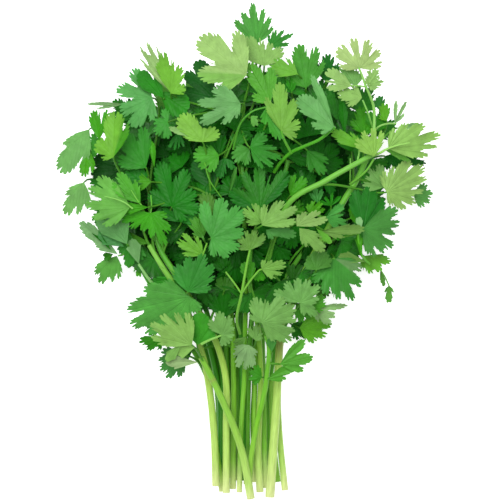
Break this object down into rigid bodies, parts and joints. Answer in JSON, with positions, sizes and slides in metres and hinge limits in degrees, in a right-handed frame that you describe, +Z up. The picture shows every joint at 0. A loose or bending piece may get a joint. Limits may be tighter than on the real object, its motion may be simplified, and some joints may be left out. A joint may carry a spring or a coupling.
{
  "type": "coriander bunch",
  "caption": "Loose bunch of cut coriander lying on its side: bare stems side by side, fanning out into a crown of lobed leaves.",
  "frame": {"origin": "on the surface that the bunch lies on, under the middle of the whole bunch's box", "axes": "+Y runs along the stems, from their cut ends to the crown of leaves; +Z up from the surface; +X to the right, looking down on the bunch with the crown away from the viewer"},
  "size_m": [0.2264, 0.3006, 0.0801],
  "materials": {
    "stem": "satin",
    "leaf": "satin"
  },
  "bodies": {
    "root": {"leaf_centre_high": "leaf", "leaf_feather_right": "leaf", "leaf_folded_grey": "leaf", "leaf_left_bluish": "leaf", "leaf_left_bright": "leaf", "leaf_left_dark": "leaf", "leaf_left_edge": "leaf", "leaf_left_edge_low": "leaf", "leaf_left_inner_dark": "leaf", "leaf_left_lime": "leaf", "leaf_left_low": "leaf", "leaf_left_pale": "leaf", "leaf_left_tip": "leaf", "leaf_lower_left": "leaf", "leaf_rest_left": "leaf", "leaf_rest_lower_right": "leaf", "leaf_rest_right": "leaf", "leaf_rest_top": "leaf", "leaf_rest_top_left": "leaf", "leaf_right_back": "leaf", "leaf_right_bright": "leaf", "leaf_right_broad": "leaf", "leaf_right_edge_dark": "leaf", "leaf_right_grey": "leaf", "leaf_right_lower": "leaf", "leaf_right_small": "leaf", "leaf_right_tip": "leaf", "leaf_top_centre_pale": "leaf", "leaf_top_left_pale": "leaf", "leaf_top_tip": "leaf", "leaf_upper_grey": "leaf", "leaf_upper_left_broad": "leaf", "leaf_upper_left_lime": "leaf", "leaf_upper_lime": "leaf", "leaf_upper_middle": "leaf", "leaf_upper_right_dark": "leaf", "leaf_waist_bright": "leaf", "leaf_waist_hanging": "leaf", "leaf_waist_left_dark": "leaf", "leaf_waist_left_pale": "leaf", "leaf_waist_pale": "leaf", "leaf_waist_right": "leaf", "stem_centre": "stem", "stem_centre_left": "stem", "stem_crossing_left": "stem", "stem_crossing_right": "stem", "stem_inner_right": "stem", "stem_jointed": "stem", "stem_left_long": "stem", "stem_left_outer": "stem", "stem_left_thick": "stem", "stem_right_arching": "stem", "stem_right_outer": "stem", "stem_right_thick": "stem", "stem_under_left": "stem", "stem_under_right": "stem", "stem_under_right_low": "stem", "stem_under_top": "stem", "stem_under_top_left": "stem", "stem_under_top_right": "stem"}
  },
  "joints": []
}
